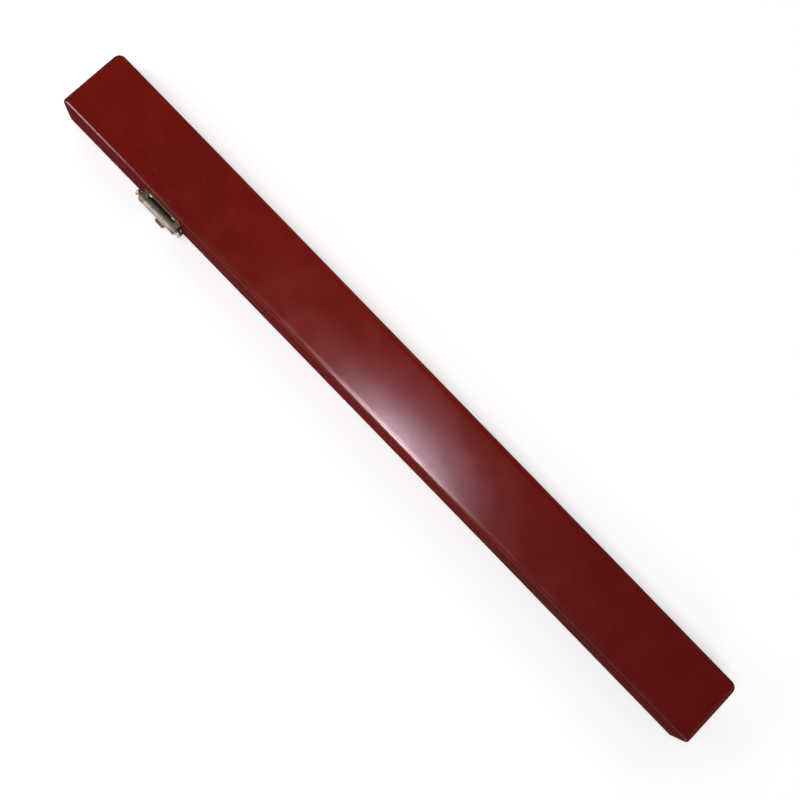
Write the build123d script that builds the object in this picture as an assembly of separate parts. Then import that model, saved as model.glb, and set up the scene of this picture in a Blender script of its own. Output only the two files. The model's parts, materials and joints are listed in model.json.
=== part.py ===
from build123d import *

import math
import os

# A slim leather-covered baton case: a tray and a lid on three small hinges at the back,
# closed by a hinged hasp over a stud at the front, with a fitted bed inside.
# Frame: origin in the middle of the underside, +X along the case, -Y to the front,
# +Z up. All lengths are in millimetres.

# Outside of the closed case
case_length = 450.0
case_width = 39.0
case_height = 27.0
base_height = 15.0
seam_gap = 0.2
back_corner_radius = 4.0
front_corner_radius = 1.3
lid_edge_radius = 3.0
base_edge_radius = 2.0

# Walls
leather = 0.9
side_wood = 4.2
floor_wood = 2.4
cavity_corner_radius = 1.5

# Collar that lines the tray and rises into the lid
collar_seat_thickness = 1.4
collar_lip_thickness = 1.0
collar_rise = 3.0
collar_lip_bevel = 0.4

# Fitted bed for one baton
bed_clearance = 0.1
bed_drop = 0.8
bed_edge_radius = 1.0
bulb_radius = 8.9
bulb_length = 52.0
bulb_floor = 0.6
bulb_end_gap = 14.0
neck_length = 26.0
channel_radius = 3.5
channel_end_gap = 14.0
scoop_radius = 13.0
scoop_width = 20.0
scoop_depth = 8.0
scoop_places_share = (-0.16, 0.3)

# Lining and padding of the lid
lining = 0.6
lining_start_gap = 0.4
pad_side_gap = 0.4
pad_crown = 3.5
pad_edge = 1.9
pad_round = 0.8

# Hinges
hinge_places_share = {"left": -0.36, "middle": 0.0, "right": 0.36}
hinge_inset = 1.2
open_angle = 110.0
bevel_slack = 0.5
leaf_length = 24.0
leaf_thickness = 0.8
leaf_margin = 0.1
barrel_radius = 1.6
hinge_pin_radius = 0.8
knuckle_count = 3
knuckle_gap = 0.15
barrel_clearance = 0.2
pin_clearance = 0.05

# Hinge screws
screw_sides = 8
screw_head_radius = 0.85
screw_head_height = 0.5
screw_head_angle = 30.0
screw_radius = 0.5
screw_length = 4.0
screw_place_share = 0.3
fastener_clearance = 0.03

# Hasp latch
latch_end_distance = 73.0
hasp_width = 18.4
end_knuckle_length = 3.2
latch_axis_out = 3.4
latch_axis_rise = 1.4
latch_barrel_radius = 2.7
latch_pin_radius = 1.05
latch_gap = 0.1
plate_thickness = 0.8
plate_corner_radius = 1.5
lid_plate_height = 6.8
base_plate_height = 10.0
base_plate_low = 2.6
finial_collar_radius = 2.3
finial_collar_length = 0.7
finial_neck_radius = 1.1
finial_taper_length = 1.2
finial_button_radius = 1.7
finial_button_length = 1.6
hasp_thickness = 1.0
hasp_gap = 0.4
hasp_corner_radius = 4.0
hasp_low = 4.6
tab_width = 6.3
tab_bend_radius = 2.4
tab_bend_angle = 113.0
tab_tip_radius = 1.2
stud_rise = 8.0
stud_radius = 2.0
stud_neck_radius = 1.6
stud_out = 4.2
stud_head_height = 1.9
stud_head_bevel = 0.8
stud_shank_radius = 1.0
stud_shank_length = 4.0
eye_side_clearance = 0.3
eye_swing_clearance = 0.8
eye_corner_radius = 2.2

# Latch rivets
rivet_sides = 12
rivet_head_radius = 1.3
rivet_head_height = 0.6
rivet_head_angle = 30.0
rivet_radius = 0.8
rivet_length = 4.0
lid_rivet_edge = 4.5
lid_rivet_drop = 2.0
hasp_rivet_gap = 0.4
base_rivet_edge = 1.8
base_rivet_rise = 2.6

# A bevel that touches the middle of a round, as a share of the round's radius
touching_bevel_share = 2 - math.sqrt(2)

# How far a cut runs past the face that it leaves
overrun = 1.0

# Sizes that follow
wall = leather + side_wood
floor_z = leather + floor_wood
lid_low = base_height + seam_gap
ceiling_z = case_height - leather - floor_wood
cavity_length = case_length - 2 * wall
cavity_width = case_width - 2 * wall
front_y = -case_width / 2
hinge_y = case_width / 2 - hinge_inset
hinge_z = base_height + seam_gap / 2
bevel_angle = open_angle / 2 + bevel_slack
leaf_reach = wall - hinge_inset - leaf_margin
screw_y = hinge_y - (leaf_reach + barrel_radius + barrel_clearance) / 2
knuckle_pitch = leaf_length / knuckle_count
knuckle_length = knuckle_pitch - knuckle_gap
bore_radius = hinge_pin_radius + pin_clearance
bed_length = cavity_length - 2 * collar_seat_thickness - 2 * bed_clearance
bed_width = cavity_width - 2 * collar_seat_thickness - 2 * bed_clearance
bed_top = base_height - bed_drop
baton_z = floor_z + bulb_floor + bulb_radius
latch_x = latch_end_distance - case_length / 2
latch_axis_y = front_y - latch_axis_out
latch_axis_z = lid_low + latch_axis_rise
latch_bore_radius = latch_pin_radius + pin_clearance
latch_barrel_length = hasp_width + 2 * (end_knuckle_length + latch_gap)
lid_rivet_x = latch_barrel_length / 2 - lid_rivet_edge
base_rivet_x = hasp_width / 2 + hasp_rivet_gap + rivet_head_radius
base_plate_length = 2 * (base_rivet_x + base_rivet_edge)


def bar(x_low, x_high, y_low, y_high, z_low, z_high):
    """A box between six limits."""
    centre = Pos((x_low + x_high) / 2, (y_low + y_high) / 2, (z_low + z_high) / 2)
    return centre * Box(x_high - x_low, y_high - y_low, z_high - z_low)


def block(length, width, low, high, corner):
    """An upright block with rounded corners in plan, between two heights."""
    return Pos(0, 0, low) * extrude(RectangleRounded(length, width, corner), high - low)


def rounded_low(body, radius):
    """The body with the edges round its lowest face rounded."""
    return fillet(body.faces().sort_by(Axis.Z)[0].edges(), radius)


def rounded_high(body, radius):
    """The body with the edges round its highest face rounded."""
    return fillet(body.faces().sort_by(Axis.Z)[-1].edges(), radius)


def bevelled_core(body, lowest_first, radius):
    """The body with a bevel round its lowest or highest face that touches a round there."""
    face = body.faces().sort_by(Axis.Z)[0 if lowest_first else -1]
    return chamfer(face.edges(), touching_bevel_share * radius)


def rod(radius, length):
    """A cylinder along X about the origin."""
    return Rot(0, 90, 0) * Cylinder(radius, length)


def stem(radius, sides, length):
    """A many-sided shank that hangs down from the origin."""
    return Pos(0, 0, -length) * extrude(RegularPolygon(radius, sides), length)


def prism_x(points, length):
    """A closed outline in the YZ plane, carried both ways along X."""
    return extrude(Plane.YZ * make_face(Polyline(*points, close=True)), length / 2, both=True)


def joined(solids):
    """One body from pieces that meet."""
    body = solids[0]
    for solid in solids[1:]:
        body = body + solid
    return body


def hinge_places():
    """Name and middle of each hinge along the back."""
    return [(name, share * case_length) for name, share in hinge_places_share.items()]


def back_bevel(rim_z, side):
    """What the bevel along the back takes from a rim, side 1 for the lid, -1 for the tray.
    The two bevels meet when the lid stands fully open, and stop it there."""
    far_y = case_width / 2 + overrun
    rise = (far_y - hinge_y) * math.tan(math.radians(bevel_angle))
    points = [
        (hinge_y, rim_z),
        (far_y, rim_z + side * rise),
        (far_y, rim_z - side * overrun),
        (hinge_y, rim_z - side * overrun),
    ]
    return prism_x(points, case_length + 2 * overrun)


def screw(grow):
    """A countersunk screw pointing down from the origin, or with a growth its hole."""
    outline = RegularPolygon(screw_head_radius + grow, screw_sides)
    head = Rot(180, 0, 0) * extrude(outline, screw_head_height, taper=screw_head_angle)
    return head + stem(screw_radius + grow, screw_sides, screw_length + grow)


def screw_places(side):
    """Where the screws of one side stand: side 1 for the lid, -1 for the tray."""
    face_z = hinge_z + side * seam_gap / 2
    turn = Rot(180, 0, 0) if side > 0 else Rot(0, 0, 0)
    offset = screw_place_share * leaf_length
    return [
        Pos(middle + way * offset, screw_y, face_z) * turn
        for _, middle in hinge_places()
        for way in (-1, 1)
    ]


def hinge_room(side):
    """What three hinges take from one side: a mortise for the leaf, a groove for the
    barrel and a hole for each screw."""
    face_z = hinge_z + side * seam_gap / 2
    room = []
    for _, middle in hinge_places():
        half = leaf_length / 2 + leaf_margin
        z_limits = sorted((face_z - side * overrun, face_z + side * leaf_thickness))
        inner_y = hinge_y - leaf_reach - fastener_clearance
        room.append(bar(middle - half, middle + half, inner_y, hinge_y, *z_limits))
        groove = rod(barrel_radius + barrel_clearance, 2 * half)
        room.append(Pos(middle, hinge_y, hinge_z) * groove)
    return room + [place * screw(fastener_clearance) for place in screw_places(side)]


def rivet():
    """A rivet with a tapered head above the origin."""
    outline = RegularPolygon(rivet_head_radius, rivet_sides)
    head = extrude(outline, rivet_head_height, taper=rivet_head_angle)
    return head + stem(rivet_radius, rivet_sides, rivet_length)


def on_front(x, out, z):
    """A place on the front wall, with local +Z pointing out of it."""
    return Pos(x, front_y - out, z) * Rot(90, 0, 0)


def lid_rivet_places():
    """Places of the lid plate's rivets."""
    z = latch_axis_z + lid_plate_height - lid_rivet_drop
    return [on_front(latch_x + way * lid_rivet_x, plate_thickness, z) for way in (-1, 1)]


def base_rivet_places():
    """Places of the tray plate's rivets, clear of the hasp on either side."""
    heights = (
        base_plate_low + base_rivet_rise,
        base_plate_low + base_plate_height - base_rivet_rise,
    )
    return [
        on_front(latch_x + way * base_rivet_x, plate_thickness, z)
        for way in (-1, 1)
        for z in heights
    ]


def rivet_holes(places):
    """The shank holes of some rivets."""
    hole = stem(
        rivet_radius + fastener_clearance, rivet_sides, rivet_length + fastener_clearance
    )
    return [place * hole for place in places]


def stud_hole():
    """The hole behind the stud."""
    hole = stem(
        stud_shank_radius + fastener_clearance,
        rivet_sides,
        stud_shank_length + fastener_clearance,
    )
    return on_front(latch_x, plate_thickness, stud_rise) * hole


def case_outline(inset):
    """The case in plan, drawn in from its sides: round corners at the back, sharp in front."""
    outline = Rectangle(case_length - 2 * inset, case_width - 2 * inset)
    return fillet(outline.vertices().sort_by(Axis.Y)[-2:], back_corner_radius - inset)


def case_half(inset, low, high):
    """The plain block of the tray or the lid, drawn in from its sides by an inset."""
    return Pos(0, 0, low) * extrude(case_outline(inset), high - low)


def front_eased(body):
    """The body with the two upright edges at the front eased."""
    outline = fillet(case_outline(0).vertices().sort_by(Axis.Y)[:2], front_corner_radius)
    return body & extrude(outline, case_height)


def tray_outside():
    """The tray's outer form, rounded below."""
    return front_eased(rounded_low(case_half(0, 0, base_height), base_edge_radius))


def tray_core():
    """The form of the wood under the tray's leather."""
    body = case_half(leather, leather, base_height)
    return bevelled_core(body, True, base_edge_radius - leather)


def lid_outside():
    """The lid's outer form, rounded above."""
    return front_eased(rounded_high(case_half(0, lid_low, case_height), lid_edge_radius))


def lid_core():
    """The form of the wood under the lid's leather."""
    body = case_half(leather, lid_low, case_height - leather)
    return bevelled_core(body, False, lid_edge_radius - leather)


def tray_cuts():
    """All that the tray's two layers lose alike."""
    holes = rivet_holes(base_rivet_places()) + [stud_hole()]
    return [back_bevel(base_height, -1)] + hinge_room(-1) + holes


def lid_cuts():
    """All that the lid's two layers lose alike."""
    return [back_bevel(lid_low, 1)] + hinge_room(1) + rivet_holes(lid_rivet_places())


def tray_carcass():
    """The wooden tray under the leather."""
    cavity = block(
        cavity_length, cavity_width, floor_z, base_height + overrun, cavity_corner_radius
    )
    return tray_core() - cavity - tray_cuts()


def lid_carcass():
    """The wooden lid under the leather."""
    cavity = block(
        cavity_length, cavity_width, lid_low - overrun, ceiling_z, cavity_corner_radius
    )
    return lid_core() - cavity - lid_cuts()


def tray_leather():
    """The leather skin of the tray, with its underside."""
    return tray_outside() - tray_core() - tray_cuts()


def lid_leather():
    """The leather skin of the lid."""
    return lid_outside() - lid_core() - lid_cuts()


def frame(length, width, corner, thickness, low, high):
    """An upright frame of one thickness."""
    outer = block(length, width, low, high, corner)
    inner = block(
        length - 2 * thickness,
        width - 2 * thickness,
        low - overrun,
        high + overrun,
        max(corner - thickness, cavity_corner_radius / 2),
    )
    return outer - inner


def rim_collar():
    """The lined collar: glued to the tray's walls, with a thinner lip that guides the lid."""
    seat = frame(
        cavity_length,
        cavity_width,
        cavity_corner_radius,
        collar_seat_thickness,
        floor_z,
        base_height,
    )
    step = collar_seat_thickness - collar_lip_thickness
    lip = frame(
        cavity_length - 2 * step,
        cavity_width - 2 * step,
        cavity_corner_radius - step,
        collar_lip_thickness,
        base_height,
        base_height + collar_rise,
    )
    collar = seat + lip
    return chamfer(collar.faces().sort_by(Axis.Z)[-1].edges(), collar_lip_bevel)


def bulb_outline():
    """Half of the bulb pocket in plan: a pear that narrows into the shaft's channel."""
    left = -bed_length / 2 + bulb_end_gap
    widest = left + bulb_radius
    shoulder = left + bulb_length - neck_length
    neck = left + bulb_length
    axis = Line((left, 0), (neck, 0))
    mouth = Line((neck, 0), (neck, channel_radius))
    taper = Bezier(
        (neck, channel_radius),
        (shoulder, channel_radius),
        (shoulder, bulb_radius),
        (widest, bulb_radius),
    )
    nose = CenterArc((widest, 0), bulb_radius, 90, 90)
    return make_face([axis, mouth, taper, nose])


def fitted_bed():
    """The bed that holds one baton: a pear pocket, a channel and two finger scoops."""
    body = block(bed_length, bed_width, floor_z, bed_top, cavity_corner_radius)
    body = rounded_high(body, bed_edge_radius)
    half_plan = bulb_outline()
    pocket = Pos(0, 0, baton_z) * revolve(half_plan, Axis.X, 360)
    plan = half_plan + mirror(half_plan, Plane.XZ)
    shaft_of_pocket = Pos(0, 0, baton_z) * extrude(plan, bed_top - baton_z + overrun)
    start = -bed_length / 2 + bulb_end_gap + bulb_length - overrun
    end = bed_length / 2 - channel_end_gap
    middle = (start + end) / 2
    groove = Pos(middle, 0, baton_z) * rod(channel_radius, end - start)
    slot = bar(start, end, -channel_radius, channel_radius, baton_z, bed_top + overrun)
    body = body - pocket - shaft_of_pocket - groove - slot
    scoop = Rot(90, 0, 0) * Cylinder(scoop_radius, scoop_width)
    for share in scoop_places_share:
        body = body - Pos(share * case_length, 0, bed_top - scoop_depth + scoop_radius) * scoop
    return body


def lid_lining():
    """The lining glued round the inside of the lid, above the collar's lip."""
    return frame(
        cavity_length,
        cavity_width,
        cavity_corner_radius,
        lining,
        base_height + collar_rise + lining_start_gap,
        ceiling_z,
    )


def lid_pad():
    """The lid's cushion: flat on the wood above, crowned below, with drawn-in sides."""
    length = cavity_length - 2 * (lining + pad_side_gap)
    width = cavity_width - 2 * (lining + pad_side_gap)
    edge_z = ceiling_z - pad_edge
    outline = Polyline(
        (width / 2, edge_z), (width / 2, ceiling_z), (-width / 2, ceiling_z), (-width / 2, edge_z)
    )
    crown = ThreePointArc(
        (-width / 2, edge_z), (0, ceiling_z - pad_crown), (width / 2, edge_z)
    )
    body = extrude(Plane.YZ * make_face(outline + crown), length / 2, both=True)
    body = fillet(body.edges().filter_by(Axis.Z), pad_round)
    belly = body.faces().filter_by(GeomType.CYLINDER).sort_by(SortBy.AREA)[-1]
    return fillet(belly.edges(), pad_round)


def hinge_leaf(middle, side):
    """One leaf with its knuckles: side -1 for the tray, which has the outer knuckles too,
    and 1 for the lid."""
    face_z = hinge_z + side * seam_gap / 2
    z_limits = sorted((face_z, face_z + side * leaf_thickness))
    notch_y = hinge_y - barrel_radius - barrel_clearance
    half = leaf_length / 2
    pieces = [
        bar(middle - half, middle + half, hinge_y - leaf_reach, notch_y, *z_limits)
    ]
    first = 0 if side < 0 else 1
    for number in range(first, knuckle_count, 2):
        x = middle - half + (number + 0.5) * knuckle_pitch
        x_limits = (x - knuckle_length / 2, x + knuckle_length / 2)
        pieces.append(bar(*x_limits, notch_y, hinge_y, *z_limits))
        pieces.append(Pos(x, hinge_y, hinge_z) * rod(barrel_radius, knuckle_length))
    bore = Pos(middle, hinge_y, hinge_z) * rod(bore_radius, leaf_length + 2 * overrun)
    holes = [place * screw(fastener_clearance) for place in screw_places(side)]
    return joined(pieces) - bore - holes


def hinge_pin(middle):
    """A hinge pin, flush with the ends of the outer knuckles."""
    return Pos(middle, hinge_y, hinge_z) * rod(hinge_pin_radius, leaf_length)


def hinge_screws(side):
    """The screws of one side, each its own solid."""
    return Compound([place * screw(0) for place in screw_places(side)])


def latch_lid_plate():
    """The lid's plate, with a knuckle at each end of its lower edge."""
    middle_z = latch_axis_z + lid_plate_height / 2
    outline = RectangleRounded(latch_barrel_length, lid_plate_height, plate_corner_radius)
    notch_top = latch_axis_z + latch_barrel_radius + barrel_clearance
    notch_low = latch_axis_z - overrun
    notch = Rectangle(hasp_width + 2 * latch_gap, notch_top - notch_low)
    sketch = Pos(latch_x, middle_z) * outline
    sketch = sketch - Pos(latch_x, (notch_top + notch_low) / 2) * notch
    plate = Pos(0, front_y, 0) * extrude(Plane.XZ * sketch, plate_thickness)
    ring_x = (hasp_width + end_knuckle_length) / 2 + latch_gap
    pieces = [plate]
    for x in (latch_x - ring_x, latch_x + ring_x):
        x_limits = (x - end_knuckle_length / 2, x + end_knuckle_length / 2)
        z_limits = (latch_axis_z, latch_axis_z + latch_barrel_radius)
        pieces.append(bar(*x_limits, latch_axis_y, front_y, *z_limits))
        ring = rod(latch_barrel_radius, end_knuckle_length)
        pieces.append(Pos(x, latch_axis_y, latch_axis_z) * ring)
    bore = rod(latch_bore_radius, latch_barrel_length + 2 * overrun)
    bore = Pos(latch_x, latch_axis_y, latch_axis_z) * bore
    return joined(pieces) - bore - rivet_holes(lid_rivet_places())


def hasp_tab():
    """The finger tab, bent out from the hasp's lower edge on an arc."""
    bend_y = front_y - plate_thickness - hasp_gap - hasp_thickness - tab_bend_radius
    outer = CenterArc((bend_y, hasp_low), tab_bend_radius + hasp_thickness, 0, -tab_bend_angle)
    inner = CenterArc((bend_y, hasp_low), tab_bend_radius, 0, -tab_bend_angle)
    root = Line(inner @ 0, outer @ 0)
    end = Line(outer @ 1, inner @ 1)
    tab = extrude(Plane.YZ * make_face([outer, end, inner, root]), tab_width / 2, both=True)
    tip = end @ 0.5
    corners = [edge for edge in tab.edges() if is_tip_corner(edge, tip)]
    return Pos(latch_x, 0, 0) * fillet(corners, tab_tip_radius)


def is_tip_corner(edge, tip):
    """Whether an edge is one of the two short ones at the corners of the tab's free end."""
    middle = edge.position_at(0.5)
    near = math.hypot(middle.Y - tip.X, middle.Z - tip.Y) < hasp_thickness / 4
    return near and abs(middle.X) > tab_width / 4


def latch_hasp():
    """The swinging hasp: its long knuckle, its leaf with the eye, and the finger tab."""
    leaf_top = latch_axis_z - latch_bore_radius - pin_clearance
    leaf_height = leaf_top - hasp_low
    outline = RectangleRounded(hasp_width, leaf_height, hasp_corner_radius)
    top_fill = Rectangle(hasp_width, leaf_height / 2)
    sketch = Pos(latch_x, hasp_low + leaf_height / 2) * outline
    sketch = sketch + Pos(latch_x, hasp_low + leaf_height * 3 / 4) * top_fill
    eye = RectangleRounded(
        2 * (stud_radius + eye_side_clearance),
        2 * (stud_radius + eye_swing_clearance),
        eye_corner_radius,
    )
    sketch = sketch - Pos(latch_x, stud_rise) * eye
    leaf_y = front_y - plate_thickness - hasp_gap
    leaf = Pos(0, leaf_y, 0) * extrude(Plane.XZ * sketch, hasp_thickness)
    axis = Pos(latch_x, latch_axis_y, latch_axis_z)
    knuckle = axis * rod(latch_barrel_radius, hasp_width)
    bore = axis * rod(latch_bore_radius, hasp_width + 2 * overrun)
    return joined([leaf, knuckle, hasp_tab()]) - bore


def latch_pin():
    """The hasp's pin, turned in one piece with a finial at each end."""
    collar_x = latch_barrel_length / 2 + latch_gap
    taper_x = collar_x + finial_collar_length
    neck_x = taper_x + finial_taper_length
    tip_x = neck_x + finial_button_length
    half_profile = [
        (collar_x, latch_pin_radius),
        (collar_x, finial_collar_radius),
        (taper_x, finial_collar_radius),
        (neck_x, finial_neck_radius),
        (neck_x, finial_button_radius),
        (tip_x, finial_button_radius),
        (tip_x, 0),
    ]
    profile = [(-x, r) for x, r in reversed(half_profile)] + half_profile
    pin = revolve(make_face(Polyline(*profile, close=True)), Axis.X, 360)
    return Pos(latch_x, latch_axis_y, latch_axis_z) * pin


def latch_base_plate():
    """The tray's plate, behind the stud."""
    outline = RectangleRounded(base_plate_length, base_plate_height, plate_corner_radius)
    sketch = Pos(latch_x, base_plate_low + base_plate_height / 2) * outline
    plate = Pos(0, front_y, 0) * extrude(Plane.XZ * sketch, plate_thickness)
    return plate - rivet_holes(base_rivet_places()) - stud_hole()


def latch_stud():
    """The stud that the hasp's eye closes over: a waisted head on a shank."""
    reach = stud_out - plate_thickness
    profile = [
        (0, 0),
        (stud_neck_radius, 0),
        (stud_neck_radius, reach - stud_head_height),
        (stud_radius, reach - stud_head_height),
        (stud_radius, reach - stud_head_bevel),
        (stud_radius - stud_head_bevel, reach),
        (0, reach),
    ]
    head = revolve(Plane.XZ * make_face(Polyline(*profile, close=True)), Axis.Z, 360)
    shank = stem(stud_shank_radius, rivet_sides, stud_shank_length)
    return on_front(latch_x, plate_thickness, stud_rise) * (head + shank)


def rivets(places):
    """Some rivets, each its own solid."""
    return Compound([place * rivet() for place in places])


def all_pieces():
    """Every sub-part under its node's name."""
    pieces = {
        "base_carcass": tray_carcass(),
        "base_leather": tray_leather(),
        "lid_carcass": lid_carcass(),
        "lid_leather": lid_leather(),
        "rim_collar": rim_collar(),
        "fitted_bed": fitted_bed(),
        "lid_lining": lid_lining(),
        "lid_pad": lid_pad(),
        "hinge_screws_base": hinge_screws(-1),
        "hinge_screws_lid": hinge_screws(1),
        "latch_lid_plate": latch_lid_plate(),
        "latch_hasp": latch_hasp(),
        "latch_pin": latch_pin(),
        "latch_base_plate": latch_base_plate(),
        "latch_stud": latch_stud(),
        "latch_rivets_lid": rivets(lid_rivet_places()),
        "latch_rivets_base": rivets(base_rivet_places()),
    }
    for name, middle in hinge_places():
        pieces[f"hinge_{name}_base_leaf"] = hinge_leaf(middle, -1)
        pieces[f"hinge_{name}_lid_leaf"] = hinge_leaf(middle, 1)
        pieces[f"hinge_{name}_pin"] = hinge_pin(middle)
    return pieces


os.makedirs("parts", exist_ok=True)
for node, piece in all_pieces().items():
    export_step(piece, f"parts/{node}.step")
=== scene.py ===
"""Dresses a packed baton case: leather skins, wooden walls, velvet and satin linings,
brass hinges and a nickel hasp latch, on a plain pale floor under soft studio light."""

from __future__ import annotations

import json
import logging
import math
from collections.abc import Callable, Iterable
from dataclasses import dataclass
from enum import Enum

import bmesh
import bpy
from mathutils import Matrix, Vector, noise

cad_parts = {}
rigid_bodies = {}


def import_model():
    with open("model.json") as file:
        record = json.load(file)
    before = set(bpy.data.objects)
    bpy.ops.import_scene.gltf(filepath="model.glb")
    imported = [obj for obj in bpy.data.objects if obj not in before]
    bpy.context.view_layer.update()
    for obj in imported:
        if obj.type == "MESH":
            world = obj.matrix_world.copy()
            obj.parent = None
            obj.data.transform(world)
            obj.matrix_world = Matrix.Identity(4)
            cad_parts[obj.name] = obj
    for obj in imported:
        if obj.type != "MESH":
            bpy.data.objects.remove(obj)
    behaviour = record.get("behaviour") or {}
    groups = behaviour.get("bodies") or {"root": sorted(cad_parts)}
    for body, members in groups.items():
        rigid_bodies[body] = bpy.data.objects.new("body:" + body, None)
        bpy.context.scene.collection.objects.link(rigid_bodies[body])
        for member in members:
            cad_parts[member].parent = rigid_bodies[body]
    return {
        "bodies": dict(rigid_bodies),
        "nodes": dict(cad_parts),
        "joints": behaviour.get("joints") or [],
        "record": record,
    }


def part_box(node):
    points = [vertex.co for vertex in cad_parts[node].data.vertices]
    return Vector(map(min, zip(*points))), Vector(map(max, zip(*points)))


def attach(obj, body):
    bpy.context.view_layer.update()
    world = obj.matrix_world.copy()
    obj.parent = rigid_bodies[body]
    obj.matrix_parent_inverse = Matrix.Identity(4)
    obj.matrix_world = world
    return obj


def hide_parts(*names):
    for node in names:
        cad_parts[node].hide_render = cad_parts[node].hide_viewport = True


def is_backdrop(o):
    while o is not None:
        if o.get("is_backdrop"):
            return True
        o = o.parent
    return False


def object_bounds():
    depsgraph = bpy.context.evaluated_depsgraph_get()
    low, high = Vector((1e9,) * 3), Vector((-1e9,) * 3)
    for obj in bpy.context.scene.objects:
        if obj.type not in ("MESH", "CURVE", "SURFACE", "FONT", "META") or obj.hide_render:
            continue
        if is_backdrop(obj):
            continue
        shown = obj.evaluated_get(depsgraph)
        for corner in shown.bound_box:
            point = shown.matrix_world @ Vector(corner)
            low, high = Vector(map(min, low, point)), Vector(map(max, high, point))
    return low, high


LOG = logging.getLogger("baton_case")

Colour = tuple[float, float, float, float]
Point = tuple[float, float, float]

X_AXIS = Vector((1.0, 0.0, 0.0))
Y_AXIS = Vector((0.0, 1.0, 0.0))
Z_AXIS = Vector((0.0, 0.0, 1.0))
OUT_OF_FRONT = Vector((0.0, -1.0, 0.0))

# Sizes that several sub-assemblies share, in metres
CASE_LENGTH = 0.450
CASE_WIDTH = 0.039
CASE_HEIGHT = 0.027
BACK_CORNER = 0.004
FRONT_CORNER = 0.0013
TRAY_RIM = 0.0150
LID_RIM = 0.0152
LEATHER = 0.0009
HINGE_Y = 0.0183
HINGE_Z = 0.0151
HINGE_PLACES = (-0.162, 0.0, 0.162)
LATCH_X = -0.152
LATCH_AXIS_Y = -0.0229
LATCH_AXIS_Z = 0.0166
PLATE_FACE_Y = -0.0203

# How near two points or two levels count as the same, in metres
SAME_POINT = 1e-6
SAME_LEVEL = 1e-5

# Edges of turned metal sharper than this stay sharp, in degrees
TURNED_SHARP = 50.0
TURNED_STEPS = 28


class Side(Enum):
    """The two halves of the case, by the body that carries them."""

    TRAY = "base"
    LID = "lid"

    @property
    def sign(self) -> int:
        """1 where the half lies above the seam, -1 where it lies below."""
        return 1 if self is Side.LID else -1

    @property
    def rim(self) -> float:
        """Height of the half's rim at the seam."""
        return LID_RIM if self is Side.LID else TRAY_RIM


class Parts(Enum):
    """What a selection in edit mode is made of."""

    VERTICES = ("VERT", "verts")
    EDGES = ("EDGE", "edges")
    FACES = ("FACE", "faces")


# ---------------------------------------------------------------- modelling by hand


def activate(piece: bpy.types.Object) -> None:
    """Makes one piece the only selected and the active object.

    Args:
        piece: The object to work on.
    """
    if bpy.context.mode != "OBJECT":
        bpy.ops.object.mode_set(mode="OBJECT")
    bpy.ops.object.select_all(action="DESELECT")
    piece.select_set(True)
    bpy.context.view_layer.objects.active = piece


class EditMode:
    """Edit mode on one piece, as a with block."""

    def __init__(self, piece: bpy.types.Object, parts: Parts = Parts.VERTICES) -> None:
        """Keeps the piece and what is selected in it."""
        self.piece = piece
        self.parts = parts

    def __enter__(self) -> EditMode:
        """Enters edit mode with everything selected."""
        activate(self.piece)
        bpy.ops.object.mode_set(mode="EDIT")
        self.pick_all(self.parts)
        return self

    def __exit__(self, *_: object) -> None:
        """Goes back to object mode."""
        bpy.ops.object.mode_set(mode="OBJECT")

    def pick_all(self, parts: Parts) -> None:
        """Selects everything, in the given select mode."""
        bpy.ops.mesh.select_mode(type=parts.value[0])
        bpy.ops.mesh.select_all(action="SELECT")

    def pick(self, parts: Parts, test: Callable[..., bool]) -> None:
        """Selects only the elements that pass a test.

        Args:
            parts: What to select.
            test: Called with each element; True selects it.
        """
        bpy.ops.mesh.select_mode(type=parts.value[0])
        bpy.ops.mesh.select_all(action="DESELECT")
        mesh = bmesh.from_edit_mesh(self.piece.data)
        for item in [item for item in getattr(mesh, parts.value[1]) if test(item)]:
            item.select_set(True)
        bmesh.update_edit_mesh(self.piece.data)


def finish_with(piece: bpy.types.Object, kind: str, **settings: object) -> None:
    """Adds a modifier, sets it and applies it.

    Args:
        piece: The object that gets it.
        kind: Blender's name for the modifier.
        **settings: The modifier's values.
    """
    modifier = piece.modifiers.new(kind.title(), kind)
    for key, value in settings.items():
        setattr(modifier, key, value)
    activate(piece)
    bpy.ops.object.modifier_apply(modifier=modifier.name)


def smooth(piece: bpy.types.Object, degrees: float = 35.0) -> None:
    """Shades a piece smooth across its soft edges.

    Args:
        piece: The object to shade.
        degrees: Edges sharper than this stay sharp.
    """
    activate(piece)
    bpy.ops.object.shade_smooth_by_angle(angle=math.radians(degrees))


def ease_edges(piece: bpy.types.Object, width: float, degrees: float) -> None:
    """Bevels a piece's sharp edges.

    Args:
        piece: The object to ease.
        width: Width of the eased edges.
        degrees: Edges sharper than this are eased.
    """
    angle = math.radians(degrees)
    finish_with(
        piece, "BEVEL", width=width, segments=2, limit_method="ANGLE", angle_limit=angle
    )


def shade_by_area(piece: bpy.types.Object) -> None:
    """Lets large faces rule the shading, so that eased edges don't tint the walls."""
    finish_with(piece, "WEIGHTED_NORMAL", weight=80, keep_sharp=True)


def outward(piece: bpy.types.Object) -> None:
    """Merges a piece's doubles and turns its faces outwards.

    Args:
        piece: The object to mend.
    """
    with EditMode(piece):
        bpy.ops.mesh.remove_doubles(threshold=SAME_POINT)
        bpy.ops.mesh.normals_make_consistent(inside=False)


def add_block(name: str, low: Point, high: Point) -> bpy.types.Object:
    """A block between two corners, with its place in its mesh.

    Args:
        name: The new object's name.
        low: Lowest corner.
        high: Highest corner.

    Returns:
        The new object.
    """
    size = [b - a for a, b in zip(low, high)]
    centre = [(a + b) / 2 for a, b in zip(low, high)]
    bpy.ops.mesh.primitive_cube_add(size=1)
    piece = bpy.context.object
    piece.name = name
    with EditMode(piece):
        bpy.ops.transform.resize(value=size, center_override=(0, 0, 0))
        bpy.ops.transform.translate(value=centre)
    return piece


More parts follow.
